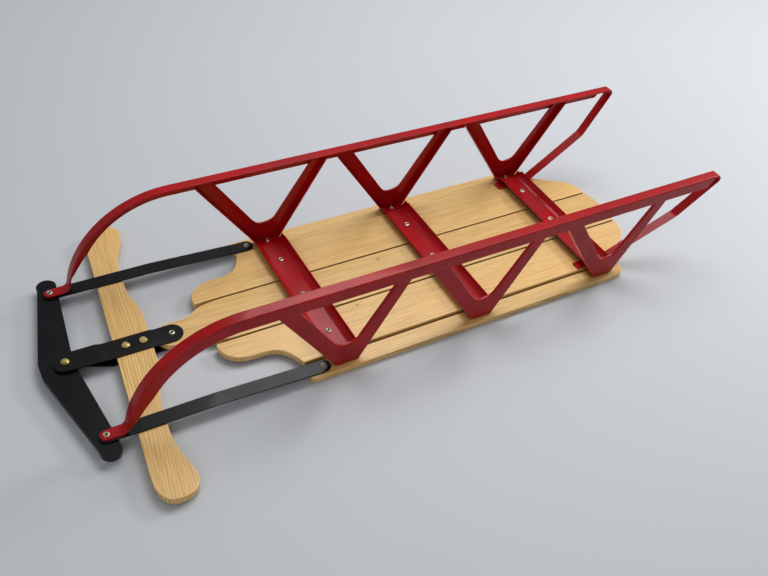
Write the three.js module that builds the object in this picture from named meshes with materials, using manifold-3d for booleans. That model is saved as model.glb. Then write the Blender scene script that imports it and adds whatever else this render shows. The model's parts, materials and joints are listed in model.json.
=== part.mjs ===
// Steerable sled with a slatted wooden deck and steel runners, lying upside down on its deck.
// Millimetres, +Z up, nose towards -Y. +X is the rider's right once the sled is turned over.
// While the pieces are laid out, Y is measured from the steering pivot on the centre slat's nose.
import * as THREE from "three";
import { mergeVertices } from "three/addons/utils/BufferGeometryUtils.js";
import Module from "manifold-3d";

const wasm = await Module();
wasm.setup();

// ---- driving dimensions -------------------------------------------------------------------
const GAP = 0.3; // clearance between pieces that touch

const WOOD_THICKNESS = 12;
const RAIL_DROP = 5.5; // how far the side rails stand proud of the slats
const SLAT_SPACE = 3.6; // open joint between neighbouring slats
const CENTRE_HALF_WIDTH = 48;
const INNER_SLAT_WIDTH = 93.9;
const RAIL_WIDTH = 32.4;
const DECK_REAR = 943; // tip of the centre slat's tail
const SLAT_FRONT = 58; // square front corner of the two inner slats
const RAIL_NOSE = 28; // from the strut rivet to the front end of a side rail
const RAIL_TAIL = 52.5; // from the rear bench's middle line to the rear end of a side rail
const NOSE_RADIUS = 26;

const BENCH_Y = { front: 243.5, middle: 517, rear: 803.5 };
const BENCH_FLAT = 34; // width of the flat bottom of the trough
const BENCH_WIDTH = 60; // over both lips
const BENCH_RISE = 13;
const BENCH_SHEET = 1.6;
const BENCH_RAMP = 4; // length of the step down to the rails

const RAIL_MARGIN = 8.8; // how far a side rail stands out beyond its runner
const RUNNER_TOP = 190;
const RUNNER_FLANGE = 19;
const RUNNER_STEEL = 3;
const RUNNER_WEB = 23;
const SPLIT_SPACE = 4.5; // from the front knee to where the springy front part starts
const SPLIT_GAP = 1.6; // lets the front part turn without meeting the rear part
const CURVE_RADIUS = 190; // outer radius of the front curve
const TAB_REACH = 28; // from the corner rivet back to the foremost point of the curve
const TAB_END = 14; // from the corner rivet to the tip of the tab
const FOOT_BEND = 12; // radius of the bend into the flat tab
const TAIL_RADIUS = 10;
const TAIL_CENTRE = 1033; // Y of the hairpin's centre
const KINK = { before: 55, below: 94 }; // from the hairpin's centre and from the runner's top
const TAIL_FOOT = { behind: 34.5, ahead: 40.5 }; // from the rear bench's middle line

const KNEE_SHEET = 2.4;
const KNEE_LIP = 12; // depth of the flange along the outer edges
const KNEE_FOOT = 21; // half the width of a knee's foot, along the rail
const FOOT_DEPTH = 21;
const KNEE_LEAN = 2.5; // how much further out the foot is than the top
const LEG = { front_out: -145, front_in: -109, rear_in: 92, rear_out: 119 };
const NOTCH = { front: [-33, 77], bottom: -9, floor: 57, rear: [17, 65] };

const STRAP_WIDTH = 38;
const STRAP_STEEL = 2.5;
const NOSE_SPACE = 9.5; // between the nose and the steering bar
const BAR_TO_BUMPER = 110.5; // bar's middle line to the bumper's middle pivot
const BAR_THICKNESS = 14;
const BAR_HALF = 309; // half its length
const BAR_SKEW = -5.8; // degrees that the bar is bolted off square
const BAR_FRONT = -32; // straight front edge, from the bar's middle line
const BAR_WAIST = 12.5; // rear edge along the necks
const BAR_BELLY = 28; // rear edge across the middle
const BAR_PADDLE = 33; // rear edge at the paddles
const BAR_BOLTS = [15.5, -13.8]; // from the bar's middle

const STRUT_WIDTH = 25;
const STRUT_BEFORE = 11.5; // from the front bench's lip to the struts' rear pivots
const CORNER_BEHIND = 17; // struts' front pivots, behind the bumper's middle pivot
const STRUT_STEEL = 2.5;
const STRUT_OVER_BAR = 0.6; // the struts slide over the bar
const STRUT_JOG = { behind: 18, run: 165 }; // slope down to the rail, from the rear pivot

const BUMPER_STEEL = 2.5;
const BUMPER_AHEAD = 39; // from the middle pivot to the apex
const BUMPER_OVERHANG = 39.8; // from the front pivots to the tips
const BUMPER_END_RADIUS = 17;
const BUMPER_LIP = 9;
const BUMPER_BEHIND = 14; // from the middle pivot to the rear edge

const RIVET = { shank: 2.6, head: 5.4, dome: 1.5, bore: 1.9, depth: 3.2 };
const BOLT = { shank: 3.1, nut: 5.6, nut_height: 3.0, tip: 0.9, washer: 6.6 };
const LOW_HEAD = 1.9; // thickness of the low heads on the deck side
const RUN_CLEARANCE = 0.35; // radial, round moving pins
const LINK_SLACK = 1.6; // radial, where the linkage is left open

// ---- levels and places worked out from them ----------------------------------------------
const railFace = WOOD_THICKNESS;
const slatBase = RAIL_DROP;
const slatFace = slatBase + WOOD_THICKNESS;
const innerStart = CENTRE_HALF_WIDTH + SLAT_SPACE;
const innerEnd = innerStart + INNER_SLAT_WIDTH;
const railStart = innerEnd + SLAT_SPACE;
const railEnd = railStart + RAIL_WIDTH;
const runnerOut = railEnd - RAIL_MARGIN; // outer face of each runner
const strutX = runnerOut - RUNNER_FLANGE / 2;
const barCentre = -(NOSE_RADIUS + NOSE_SPACE + BAR_BELLY);
const leverLength = BAR_TO_BUMPER - barCentre; // steering pivot to bumper pivot
const strutRear = BENCH_Y.front - BENCH_WIDTH / 2 - STRUT_BEFORE;
const railFront = strutRear - RAIL_NOSE;
const railRear = BENCH_Y.rear + RAIL_TAIL;
const cornerY = CORNER_BEHIND - leverLength;
const bumperApex = -leverLength - BUMPER_AHEAD;
const bumperRear = BUMPER_BEHIND - leverLength;
const bumperTip = strutX + BUMPER_OVERHANG;
const barBolts = BAR_BOLTS.map((y) => barCentre + y);
const barFrontEdge = barCentre + BAR_FRONT;
const runnerSplit = BENCH_Y.front + LEG.front_out - SPLIT_SPACE;
const runnerStart = runnerSplit + SPLIT_GAP; // front end of the rear part
const curveY = cornerY + TAB_REACH + CURVE_RADIUS; // centre of the front curve
const curveZ = RUNNER_TOP - CURVE_RADIUS;
const kink = { y: TAIL_CENTRE - KINK.before, z: RUNNER_TOP - KINK.below };
const tailFootX = innerEnd - RUNNER_FLANGE / 2;
const barBase = slatBase;
const barTop = barBase + BAR_THICKNESS;
const strutHigh = barTop + STRUT_OVER_BAR;
const bumperFace = strutHigh - GAP;
const lowerStrapHigh = bumperFace + GAP;
const lowerStrapLow = slatBase - GAP - STRAP_STEEL;
const upperStrapHigh = lowerStrapHigh + STRAP_STEEL + GAP;
const upperStrapMid = barTop + GAP;
const upperStrapLow = slatFace + GAP;
const strutLow = railFace + GAP;
const tabBase = strutHigh + STRUT_STEEL + GAP;
const webInside = runnerOut - RUNNER_STEEL;
const kneeTop = RUNNER_TOP - RUNNER_STEEL - GAP;
const kneeTopX = webInside - GAP; // outer face of a knee at its top
const kneeFootX = kneeTopX + KNEE_LEAN;
const railRivetX = kneeFootX - KNEE_SHEET - 9;
const slatRivetX = innerStart + INNER_SLAT_WIDTH / 2;
const SIDES = { left: -1, right: 1 };

// ---- materials ----------------------------------------------------------------------------
function finish(color, roughness, metalness) {
  return new THREE.MeshStandardMaterial({ color, roughness, metalness });
}

const looks = {
  wood: () => finish(0xe3bb74, 0.5, 0),
  red: () => finish(0xb3141f, 0.25, 0.1),
  black: () => finish(0x18181a, 0.4, 0.2),
  zinc: () => finish(0xb9b29a, 0.4, 0.9),
  yellow: () => finish(0xcbb878, 0.4, 0.9),
};

// ---- helpers ------------------------------------------------------------------------------
const sled = new THREE.Group();

function addPiece(name, body, look) {
  const mesh = new THREE.Mesh(body, looks[look]());
  mesh.name = name;
  sled.add(mesh);
}

// A manifold-3d solid from a closed three.js geometry.
function solid(geometry) {
  const bare = geometry.clone();
  bare.deleteAttribute("normal");
  bare.deleteAttribute("uv");
  const merged = mergeVertices(bare, 1e-4);
  return new wasm.Manifold(
    new wasm.Mesh({
      numProp: 3,
      vertProperties: merged.attributes.position.array,
      triVerts: merged.index.array,
    }),
  );
}

function geometryOf(body) {
  const mesh = body.getMesh();
  const geometry = new THREE.BufferGeometry();
  geometry.setAttribute("position", new THREE.BufferAttribute(mesh.vertProperties, 3));
  geometry.setIndex(new THREE.BufferAttribute(mesh.triVerts, 1));
  geometry.computeVertexNormals();
  return geometry;
}

// A flat plate: an outline in X and Y, from height z upwards.
function plate(outline, thickness, z, curveSegments = 8) {
  const geometry = new THREE.ExtrudeGeometry(outline, {
    depth: thickness,
    bevelEnabled: false,
    curveSegments,
  });
  return geometry.translate(0, 0, z);
}

// A profile in Y and Z, carried along X from xLow to xHigh.
const profileToWorld = new THREE.Matrix4().makeBasis(
  new THREE.Vector3(0, 1, 0),
  new THREE.Vector3(0, 0, 1),
  new THREE.Vector3(1, 0, 0),
);

function across(profile, xLow, xHigh, curveSegments = 8) {
  const geometry = new THREE.ExtrudeGeometry(profile, {
    depth: xHigh - xLow,
    bevelEnabled: false,
    curveSegments,
  });
  return geometry.applyMatrix4(profileToWorld).translate(xLow, 0, 0);
}

function shapeOf(points) {
  return new THREE.Shape(points.map(([a, b]) => new THREE.Vector2(a, b)));
}

// Sheet bent along a run of points: the run itself is one face, and the other is
// `thickness` to its left, with mitred corners.
function bentSheet(run, thickness) {
  const points = run.map(([a, b]) => new THREE.Vector2(a, b));
  const other = points.map((point, i) => {
    const before = points[Math.max(i - 1, 0)];
    const after = points[Math.min(i + 1, points.length - 1)];
    const inward = i > 0 ? point.clone().sub(before).normalize() : after.clone().sub(point).normalize();
    const onward = i < points.length - 1 ? after.clone().sub(point).normalize() : inward;
    const normalIn = new THREE.Vector2(-inward.y, inward.x);
    const normalOn = new THREE.Vector2(-onward.y, onward.x);
    const mitre = normalIn.add(normalOn).normalize();
    const stretch = thickness / mitre.dot(normalOn);
    return point.clone().addScaledVector(mitre, stretch);
  });
  return new THREE.Shape([...points, ...other.reverse()]);
}

function arcPoints(centreA, centreB, radius, fromDeg, toDeg, steps) {
  const points = [];
  for (let i = 0; i <= steps; i += 1) {
    const angle = THREE.MathUtils.degToRad(fromDeg + ((toDeg - fromDeg) * i) / steps);
    points.push([centreA + radius * Math.cos(angle), centreB + radius * Math.sin(angle)]);
  }
  return points;
}

function post(radius, x, y, zLow, zHigh, sides = 16) {
  const geometry = new THREE.CylinderGeometry(radius, radius, zHigh - zLow, sides);
  geometry.rotateX(Math.PI / 2);
  return geometry.translate(x, y, (zLow + zHigh) / 2);
}

// Long plate with round ends, its end centres on the line x.
function stadium(x, yFront, yRear, width) {
  const outline = new THREE.Shape();
  const radius = width / 2;
  outline.moveTo(x - radius, yFront);
  outline.absarc(x, yFront, radius, Math.PI, 2 * Math.PI, false);
  outline.lineTo(x + radius, yRear);
  outline.absarc(x, yRear, radius, 0, Math.PI, false);
  outline.closePath();
  return outline;
}

function drilled(body, holes) {
  return holes.reduce((rest, [x, y, radius]) => {
    return rest.subtract(solid(post(radius, x, y, -50, 120)));
  }, body);
}

function mirrored(points) {
  return points.map(([x, y]) => [-x, y]).reverse();
}

// ---- wooden deck --------------------------------------------------------------------------
const rivetHole = RIVET.shank + GAP;

function centreSlat() {
  const outline = new THREE.Shape();
  const half = CENTRE_HALF_WIDTH;
  outline.moveTo(half, 120);
  outline.lineTo(half, DECK_REAR - 7);
  outline.quadraticCurveTo(0, DECK_REAR + 7, -half, DECK_REAR - 7);
  outline.lineTo(-half, 120);
  outline.bezierCurveTo(-half, 78, -half + 3, 62, -36, 50);
  outline.bezierCurveTo(-30, 43, -NOSE_RADIUS, 34, -NOSE_RADIUS, 20);
  outline.lineTo(-NOSE_RADIUS, 0);
  outline.absarc(0, 0, NOSE_RADIUS, Math.PI, 2 * Math.PI, false);
  outline.lineTo(NOSE_RADIUS, 20);
  outline.bezierCurveTo(NOSE_RADIUS, 34, 30, 43, 36, 50);
  outline.bezierCurveTo(half - 3, 62, half, 78, half, 120);
  const holes = Object.values(BENCH_Y).map((y) => [0, y, rivetHole]);
  holes.push([0, 0, BOLT.shank + RUN_CLEARANCE]);
  const blank = solid(plate(outline, WOOD_THICKNESS, slatBase, 7));
  return geometryOf(drilled(blank, holes));
}

// Wide inner slat: S-shaped front corner, tail rounded off towards the rail.
function innerSlat(side) {
  const outline = new THREE.Shape();
  const near = side * innerStart;
  const far = side * innerEnd;
  outline.moveTo(near, SLAT_FRONT);
  const from = (x, y) => [near + side * x, SLAT_FRONT + y];
  const tail = (x, y) => [far - side * x, DECK_REAR - y];
  outline.bezierCurveTo(...from(15, -2), ...from(33, 4), ...from(42, 24));
  outline.bezierCurveTo(...from(50, 44), ...from(44, 64), ...from(49, 80));
  outline.bezierCurveTo(...from(54, 100), ...from(71, 108), far, railFront + 1);
  outline.lineTo(...tail(0, 107));
  outline.bezierCurveTo(...tail(7.5, 85), ...tail(27.5, 65), ...tail(35.5, 47));
  outline.bezierCurveTo(...tail(47.5, 21), ...tail(61.5, 9), near, DECK_REAR - 7);
  outline.closePath();
  const holes = Object.values(BENCH_Y).map((y) => [side * slatRivetX, y, rivetHole]);
  const blank = solid(plate(outline, WOOD_THICKNESS, slatBase, 7));
  return geometryOf(drilled(blank, holes));
}

function sideRail(side) {
  const outline = new THREE.Shape();
  const near = side * railStart;
  const far = side * railEnd;
  outline.moveTo(near, railFront + 6);
  outline.quadraticCurveTo(near, railFront, near + side * 6, railFront);
  outline.lineTo(far - side * 8, railFront);
  outline.quadraticCurveTo(far, railFront, far, railFront + 10);
  outline.lineTo(far, railRear - 26);
  outline.quadraticCurveTo(far, railRear, far - side * 18, railRear);
  outline.lineTo(near + side * 5, railRear);
  outline.quadraticCurveTo(near, railRear, near, railRear - 6);
  outline.closePath();
  const holes = Object.values(BENCH_Y).map((y) => [side * railRivetX, y, rivetHole]);
  holes.push([side * strutX, strutRear, rivetHole]);
  const blank = solid(plate(outline, WOOD_THICKNESS, 0, 5));
  return geometryOf(drilled(blank, holes));
}

addPiece("slat_centre", centreSlat(), "wood");
for (const [label, side] of Object.entries(SIDES)) {
  addPiece("slat_" + label, innerSlat(side), "wood");
  addPiece("rail_" + label, sideRail(side), "wood");
}

// ---- benches: pressed troughs across the deck, stepped down to the rails at both ends ------
function benchBase(name) {
  const lift = name === "rear" ? RUNNER_STEEL + GAP : 0; // the runner tails pass under it
  return slatFace + GAP + lift;
}

const benchEndBase = railFace + GAP + KNEE_SHEET + GAP;
const benchEndX = kneeFootX - KNEE_SHEET - 2;

function troughRun(y, z) {
  const flat = BENCH_FLAT / 2;
  const lip = BENCH_WIDTH / 2;
  return [
    [y + lip, z + BENCH_RISE],
    [y + lip - 3, z + BENCH_RISE * 0.55],
    [y + flat + 5, z + BENCH_RISE * 0.16],
    [y + flat, z],
    [y - flat, z],
    [y - flat - 5, z + BENCH_RISE * 0.16],
    [y - lip + 3, z + BENCH_RISE * 0.55],
    [y - lip, z + BENCH_RISE],
  ].reverse();
}

function bench(name) {
  const y = BENCH_Y[name];
  const base = benchBase(name);
  const drop = base - benchEndBase;
  const rampStart = innerEnd + 0.5;
  const rampEnd = rampStart + BENCH_RAMP;
  const high = bentSheet(troughRun(y, base), BENCH_SHEET);
  let body = solid(across(high, -rampStart, rampStart));
  for (const side of Object.values(SIDES)) {
    const ramp = across(high, side > 0 ? rampStart : -rampEnd, side > 0 ? rampEnd : -rampStart);
    const places = ramp.attributes.position;
    for (let i = 0; i < places.count; i += 1) {
      const along = (Math.abs(places.getX(i)) - rampStart) / BENCH_RAMP;
      places.setZ(i, places.getZ(i) - drop * along);
    }
    const low = bentSheet(troughRun(y, benchEndBase), BENCH_SHEET);
    const end = across(low, side > 0 ? rampEnd : -benchEndX, side > 0 ? benchEndX : -rampEnd);
    body = body.add(solid(ramp)).add(solid(end));
  }
  body = body.subtract(kneeClearance(y));
  const holes = [[0, y, rivetHole]];
  for (const side of Object.values(SIDES)) {
    holes.push([side * slatRivetX, y, rivetHole], [side * railRivetX, y, rivetHole]);
  }
  return geometryOf(drilled(body, holes));
}

// Outer edges of a knee, front leg first, from a bench's middle line.
function kneeRun() {
  const foot = railFace + GAP;
  return [
    [LEG.front_out, kneeTop],
    [-KNEE_FOOT, foot],
    [KNEE_FOOT, foot],
    [LEG.rear_out, kneeTop],
  ];
}

// Room that the ends of a bench leave for the flanges along the knees' legs.
function kneeClearance(y) {
  const run = kneeRun().map(([a, b]) => [a + y, b]);
  const cuts = [];
  for (const leg of [run.slice(0, 2), run.slice(2, 4)]) {
    for (const side of Object.values(SIDES)) {
      const near = side * (kneeTopX - KNEE_LIP - GAP);
      const far = side * (benchEndX + BENCH_RAMP);
      for (const reach of [KNEE_SHEET + GAP, -BENCH_RISE]) {
        cuts.push(solid(across(bentSheet(leg, reach), Math.min(near, far), Math.max(near, far))));
      }
    }
  }
  return cuts.reduce((all, cut) => all.add(cut));
}

for (const name of Object.keys(BENCH_Y)) {
  addPiece("bench_" + name, bench(name), "red");
}

// ---- knees: V-shaped brackets from the rails up to the runners ------------------------------

function knee(name, side) {
  const face = new THREE.Shape();
  const [frontOut, footFront, footRear, rearOut] = kneeRun();
  face.moveTo(...frontOut);
  face.lineTo(footFront[0] - 2, footFront[1] + 3);
  face.quadraticCurveTo(...footFront, footFront[0] + 4, footFront[1]);
  face.lineTo(footRear[0] - 4, footRear[1]);
  face.quadraticCurveTo(...footRear, footRear[0] + 2, footRear[1] + 3);
  face.lineTo(...rearOut);
  face.lineTo(LEG.rear_in, kneeTop);
  face.lineTo(...NOTCH.rear);
  face.bezierCurveTo(10, NOTCH.floor, NOTCH.bottom + 6, NOTCH.floor, NOTCH.bottom, NOTCH.floor);
  face.bezierCurveTo(NOTCH.bottom - 8, NOTCH.floor, -24, NOTCH.floor + 6, ...NOTCH.front);
  face.lineTo(LEG.front_in, kneeTop);
  face.closePath();
  const outer = side * kneeTopX;
  const inner = side * (kneeTopX - KNEE_SHEET);
  const lipEnd = side * (kneeTopX - KNEE_LIP);
  const footEnd = side * (kneeTopX - FOOT_DEPTH);
  const span = (a, b) => [Math.min(a, b), Math.max(a, b)];
  let body = solid(across(face, ...span(inner, outer)));
  const lips = bentSheet(kneeRun(), KNEE_SHEET);
  body = body.add(solid(across(lips, ...span(lipEnd, outer))));
  const foot = kneeRun().slice(1, 3);
  const sole = bentSheet([[foot[0][0] + 2, foot[0][1]], [foot[1][0] - 2, foot[1][1]]], KNEE_SHEET);
  body = body.add(solid(across(sole, ...span(footEnd, outer))));
  const underRunner = new THREE.BoxGeometry(4 * runnerOut, 600, kneeTop);
  body = body.intersect(solid(underRunner.translate(0, 0, kneeTop / 2)));
  // Lean the foot outwards: shift each point sideways by its depth below the top.
  const geometry = geometryOf(body);
  const places = geometry.attributes.position;
  const height = kneeTop - railFace - GAP;
  for (let i = 0; i < places.count; i += 1) {
    const depth = (kneeTop - places.getZ(i)) / height;
    places.setX(i, places.getX(i) + side * KNEE_LEAN * depth);
  }
  geometry.translate(0, BENCH_Y[name], 0);
  return geometryOf(drilled(solid(geometry), [[side * railRivetX, BENCH_Y[name], rivetHole]]));
}

for (const name of Object.keys(BENCH_Y)) {
  for (const [label, side] of Object.entries(SIDES)) {
    addPiece("knee_" + name + "_" + label, knee(name, side), "red");
  }
}

// ---- runners ------------------------------------------------------------------------------
// Each runner is an angle: a flat running flange on top and a web down its outer edge.
function runnerSpan(side, depth) {
  const outer = side * runnerOut;
  const inner = side * (runnerOut - depth);
  return [Math.min(outer, inner), Math.max(outer, inner)];
}

function tailRun() {
  const down = Math.atan2(TAIL_RADIUS - KINK.below, -KINK.before);
  const turnEnd = THREE.MathUtils.radToDeg(down) + 90;
  const hairpin = arcPoints(TAIL_CENTRE, RUNNER_TOP - TAIL_RADIUS, TAIL_RADIUS, 90, turnEnd + 4, 10);
  const base = slatFace + GAP;
  return [
    [runnerStart, RUNNER_TOP],
    ...hairpin,
    [kink.y, kink.z],
    [BENCH_Y.rear + TAIL_FOOT.behind, base],
    [BENCH_Y.rear - TAIL_FOOT.ahead, base],
  ].reverse();
}

// Rear part: straight runner, hairpin at the tail and the strap that returns to the rear bench.
function runnerRear(side) {
  const strip = across(bentSheet(tailRun(), RUNNER_STEEL), ...runnerSpan(side, RUNNER_FLANGE));
  const places = strip.attributes.position;
  const straightX = runnerOut - RUNNER_FLANGE / 2;
  const bendHigh = RUNNER_TOP - 2 * TAIL_RADIUS;
  const bendLow = slatFace + RUNNER_STEEL + GAP;
  for (let i = 0; i < places.count; i += 1) {
    const depth = (bendHigh - places.getZ(i)) / (bendHigh - bendLow);
    const share = THREE.MathUtils.clamp(depth, 0, 1);
    places.setX(i, places.getX(i) - side * (straightX - tailFootX) * share);
  }
  const webEnd = TAIL_CENTRE - 8;
  const low = RUNNER_TOP - RUNNER_WEB;
  const high = RUNNER_TOP - RUNNER_STEEL / 2;
  const webFace = shapeOf([
    [runnerStart, low],
    [webEnd - 14, low],
    [webEnd, high],
    [runnerStart, high],
  ]);
  const web = across(webFace, ...runnerSpan(side, RUNNER_STEEL));
  const body = solid(strip).add(solid(web));
  return geometryOf(body);
}

// Front part: the curve down to the tab that is riveted over the strut and the bumper.
function runnerNose(side) {
  const tabTop = tabBase + RUNNER_STEEL;
  // The curve hands over to the foot bend where both have the same slope.
  const handZ = tabTop + FOOT_BEND;
  const ratio = (handZ - curveZ) / (CURVE_RADIUS + FOOT_BEND);
  const handDeg = 180 - THREE.MathUtils.radToDeg(Math.asin(ratio));
  const bendY = curveY + (CURVE_RADIUS + FOOT_BEND) * Math.cos(THREE.MathUtils.degToRad(handDeg));
  const curve = arcPoints(curveY, curveZ, CURVE_RADIUS, 90, handDeg, 16);
  const bend = arcPoints(bendY, handZ, FOOT_BEND, handDeg - 180, -90, 5).slice(1);
  const run = [[runnerSplit, RUNNER_TOP], ...curve, ...bend, [cornerY - TAB_END, tabTop]];
  const strip = across(bentSheet(run, RUNNER_STEEL), ...runnerSpan(side, RUNNER_FLANGE));
  const webRadius = CURVE_RADIUS - RUNNER_STEEL / 2;
  const webStop = handDeg - 4;
  const outerEdge = arcPoints(curveY, curveZ, webRadius, 90, webStop, 14);
  const innerEdge = outerEdge.map(([y, z], i) => {
    const taper = 0.7 * (i / 14) ** 8;
    const depth = THREE.MathUtils.lerp(RUNNER_WEB - RUNNER_STEEL / 2, RUNNER_STEEL, taper);
    const shrink = (webRadius - depth) / webRadius;
    return [curveY + (y - curveY) * shrink, curveZ + (z - curveZ) * shrink];
  });
  const low = RUNNER_TOP - RUNNER_WEB;
  const webFace = shapeOf([
    [runnerSplit, RUNNER_TOP - RUNNER_STEEL / 2],
    ...outerEdge,
    ...innerEdge.reverse(),
    [runnerSplit, low],
  ]);
  const web = across(webFace, ...runnerSpan(side, RUNNER_STEEL));
  const middle = side * (runnerOut - RUNNER_FLANGE / 2);
  const plan = plate(stadium(middle, cornerY, runnerSplit + 30, RUNNER_FLANGE), 220, 0);
  const body = solid(strip).intersect(solid(plan)).add(solid(web));
  return geometryOf(drilled(body, [[side * strutX, cornerY, RIVET.shank + LINK_SLACK]]));
}

for (const [label, side] of Object.entries(SIDES)) {
  addPiece("runner_" + label, runnerRear(side), "red");
  addPiece("runner_nose_" + label, runnerNose(side), "red");
}

// ---- steering: bumper, struts, straps and bar -----------------------------------------------
function bumper() {
  const half = [
    [16, bumperApex],
    [bumperTip - BUMPER_END_RADIUS - 3, cornerY - BUMPER_END_RADIUS],
    ...arcPoints(bumperTip - BUMPER_END_RADIUS, cornerY - 1, BUMPER_END_RADIUS, -75, 80, 7),
    [strutX, cornerY + 13],
    [14, bumperRear],
  ];
  const face = shapeOf([...half, ...mirrored(half)]);
  const frontEdge = half.slice(0, 10);
  const lipRun = [...mirrored(frontEdge), ...frontEdge];
  const lipShape = bentSheet(lipRun, BUMPER_STEEL);
  const top = solid(plate(face, BUMPER_STEEL, bumperFace - BUMPER_STEEL));
  const lip = solid(plate(lipShape, BUMPER_LIP, bumperFace - BUMPER_LIP));
  const holes = [];
  for (const side of Object.values(SIDES)) {
    holes.push([side * strutX, cornerY, RIVET.shank + RUN_CLEARANCE]);
  }
  const slot = solid(plate(stadium(0, -leverLength, -leverLength + 3, 2 * BOLT.shank + 1.4), 60, -5));
  return geometryOf(drilled(top.add(lip), holes).subtract(slot));
}

function strut(side) {
  const x = side * strutX;
  const plan = plate(stadium(x, cornerY, strutRear, STRUT_WIDTH), 60, 0);
  const run = [
    [cornerY - STRUT_WIDTH, strutHigh],
    [strutRear - STRUT_JOG.behind - STRUT_JOG.run, strutHigh],
    [strutRear - STRUT_JOG.behind, strutLow],
    [strutRear + STRUT_WIDTH, strutLow],
  ];
  const bent = across(bentSheet(run, STRUT_STEEL), x - STRUT_WIDTH, x + STRUT_WIDTH);
  const holes = [
    [x, cornerY, RIVET.shank + RUN_CLEARANCE],
    [x, strutRear, RIVET.shank + RUN_CLEARANCE],
  ];
  return geometryOf(drilled(solid(plan).intersect(solid(bent)), holes));
}

function strap(run) {
  const plan = plate(stadium(0, -leverLength, 0, STRAP_WIDTH), 60, -5);
  const bent = across(bentSheet(run, STRAP_STEEL), -STRAP_WIDTH, STRAP_WIDTH);
  const holes = [0, -leverLength, ...barBolts].map((y) => [0, y, BOLT.shank + RUN_CLEARANCE]);
  return geometryOf(drilled(solid(plan).intersect(solid(bent)), holes));
}

const strapFront = -leverLength - STRAP_WIDTH;
const upperRun = [
  [strapFront, upperStrapHigh],
  [barFrontEdge - 28.5, upperStrapHigh],
  [barFrontEdge - 16.5, upperStrapMid],
  [-NOSE_RADIUS - 8, upperStrapMid],
  [-NOSE_RADIUS, upperStrapLow],
  [STRAP_WIDTH, upperStrapLow],
];
const lowerRun = [
  [strapFront, lowerStrapHigh],
  [bumperRear + 14, lowerStrapHigh],
  [barFrontEdge - 10.5, lowerStrapLow],
  [STRAP_WIDTH, lowerStrapLow],
];

// Steering bar: straight front edge, wide middle, slimmer necks and broad rounded paddles.
function steeringBar() {
  const outline = new THREE.Shape();
  const half = BAR_HALF;
  outline.moveTo(0, BAR_FRONT);
  outline.lineTo(half - 46, BAR_FRONT);
  outline.bezierCurveTo(half - 14, BAR_FRONT, half, BAR_FRONT + 14, half, -2);
  outline.bezierCurveTo(half, BAR_PADDLE - 14, half - 10, BAR_PADDLE, half - 26, BAR_PADDLE);
  outline.bezierCurveTo(half - 56, BAR_PADDLE, half - 74, BAR_WAIST, half - 122, BAR_WAIST);
  outline.lineTo(142, BAR_WAIST);
  outline.bezierCurveTo(108, BAR_WAIST, 86, BAR_BELLY, 50, BAR_BELLY);
  outline.lineTo(-50, BAR_BELLY);
  outline.bezierCurveTo(-86, BAR_BELLY, -108, BAR_WAIST, -142, BAR_WAIST);
  outline.lineTo(-half + 122, BAR_WAIST);
  outline.bezierCurveTo(-half + 74, BAR_WAIST, -half + 56, BAR_PADDLE, -half + 26, BAR_PADDLE);
  outline.bezierCurveTo(-half + 10, BAR_PADDLE, -half, BAR_PADDLE - 14, -half, -2);
  outline.bezierCurveTo(-half, BAR_FRONT + 14, -half + 14, BAR_FRONT, -half + 46, BAR_FRONT);
  outline.closePath();
  const blank = plate(outline, BAR_THICKNESS, barBase, 6);
  blank.rotateZ(THREE.MathUtils.degToRad(BAR_SKEW));
  blank.translate(0, barCentre, 0);
  const holes = barBolts.map((y) => [0, y, BOLT.shank + GAP]);
  return geometryOf(drilled(solid(blank), holes));
}

addPiece("bumper_plate", bumper(), "black");
addPiece("steering_bar", steeringBar(), "wood");
addPiece("strap_upper", strap(upperRun), "black");
addPiece("strap_lower", strap(lowerRun), "black");
for (const [label, side] of Object.entries(SIDES)) {
  addPiece("strut_" + label, strut(side), "black");
}

// ---- fasteners ----------------------------------------------------------------------------
// Tubular rivet: rolled rim with a hollow in the middle on top, low head or plain end below.
function rivet(x, y, seat, foot, lowHead) {
  const top = seat + RIVET.dome;
  const profile = [
    [0, foot],
    [lowHead ? RIVET.head - 0.8 : RIVET.shank, foot],
  ];
  if (lowHead) {
    profile.push([RIVET.head - 0.8, foot + lowHead], [RIVET.shank, foot + lowHead]);
  }
  profile.push(
    [RIVET.shank, seat],
    [RIVET.head, seat],
    [RIVET.head - 0.5, seat + RIVET.dome * 0.7],
    [RIVET.head - 1.9, top],
    [RIVET.bore, top - 0.3],
    [RIVET.bore, top - RIVET.depth],
    [0, top - RIVET.depth],
  );
  const geometry = new THREE.LatheGeometry(
    profile.map(([r, z]) => new THREE.Vector2(r, z)),
    14,
  );
  geometry.rotateX(Math.PI / 2);
  geometry.translate(x, y, 0);
  return geometryOf(solid(geometry));
}

// Bolt with a low head on the deck side and a washer, hexagon nut and tip on the other.
function bolt(y, headZ, seat) {
  const head = post(BOLT.nut, 0, y, headZ - LOW_HEAD, headZ, 14);
  const shank = post(BOLT.shank, 0, y, headZ - LOW_HEAD / 2, seat + BOLT.nut_height + BOLT.tip, 14);
  const washer = post(BOLT.washer, 0, y, seat, seat + 1, 18);
  const nut = post(BOLT.nut + 0.4, 0, y, seat + 0.5, seat + BOLT.nut_height, 6);
  return geometryOf(solid(head).add(solid(shank)).add(solid(washer)).add(solid(nut)));
}

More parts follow.
